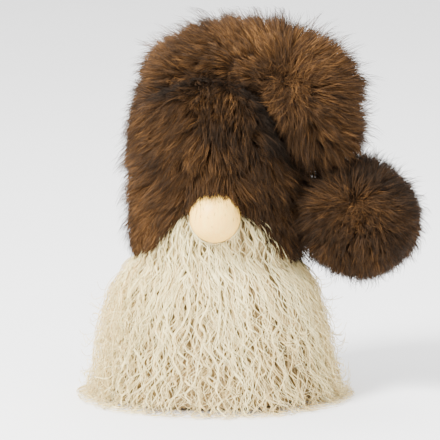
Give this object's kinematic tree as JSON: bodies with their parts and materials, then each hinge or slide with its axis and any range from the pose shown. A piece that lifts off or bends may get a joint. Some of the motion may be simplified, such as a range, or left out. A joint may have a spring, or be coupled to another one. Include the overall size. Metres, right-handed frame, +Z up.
{
  "type": "tomte gnome figurine",
  "caption": "Free-standing tomte gnome: weighted felt body, long curly beard, round wooden nose and a folded fur hat with a hanging pom-pom.",
  "frame": {"origin": "centre of the round felt base, on the ground", "axes": "+Z up; the nose and beard face -Y; +X is the viewer's right, the side that the hat's tail and pom-pom hang on"},
  "size_m": [0.2235, 0.144, 0.2577],
  "materials": {
    "felt_brown": "matte",
    "board": "matte",
    "cotton_bag": "matte",
    "thread_brown": "matte",
    "sand": "matte",
    "stuffing": "matte",
    "beard_backing": "matte",
    "thread_cream": "matte",
    "beard_hair": "satin",
    "birch": "satin",
    "birch_dowel": "matte",
    "fur_backing": "matte",
    "hat_fur": "satin",
    "tail_fur": "satin",
    "pompom_fur": "satin"
  },
  "bodies": {
    "figure": {"base_felt": "felt_brown", "base_board": "board", "weight_bag": "cotton_bag", "weight_tie": "thread_brown", "weight_sand": "sand", "body_cover": "felt_brown", "body_stuffing": "stuffing", "back_seam_thread": "thread_brown", "beard_backing": "beard_backing", "beard_thread": "thread_cream", "beard_hair": "beard_hair", "nose_ball": "birch", "nose_dowel": "birch_dowel", "nose_washer": "birch_dowel", "hat_hem": "fur_backing", "hem_thread": "thread_brown", "hat_crown_fur": "hat_fur", "hat_stuffing": "stuffing"},
    "hat_tail": {"tail_fur": "tail_fur", "tail_stuffing": "stuffing", "tail_gather_thread": "thread_brown", "tail_loop": "thread_brown"},
    "pompom_link": {"pompom_link": "thread_brown"},
    "pompom": {"pompom_fur": "pompom_fur", "pompom_stuffing": "stuffing", "pompom_gather_thread": "thread_brown", "pompom_loop": "thread_brown"}
  },
  "joints": [
    {"name": "tail_fold", "type": "hinge", "parent": "figure", "child": "hat_tail", "pos_m": [-0.016, -0.002, 0.22], "axis": [0, -1, 0], "range_deg": [0, 60]},
    {"name": "pompom_swing", "type": "hinge", "parent": "hat_tail", "child": "pompom_link", "pos_m": [0.0875, -0.016, 0.17008], "axis": [0, -1, 0], "range_deg": [0, 70]},
    {"name": "pompom_nod", "type": "hinge", "parent": "pompom_link", "child": "pompom", "pos_m": [0.08966, -0.016, 0.16342], "axis": [0.9511, 0, 0.309], "range_deg": [-35, 35]}
  ]
}
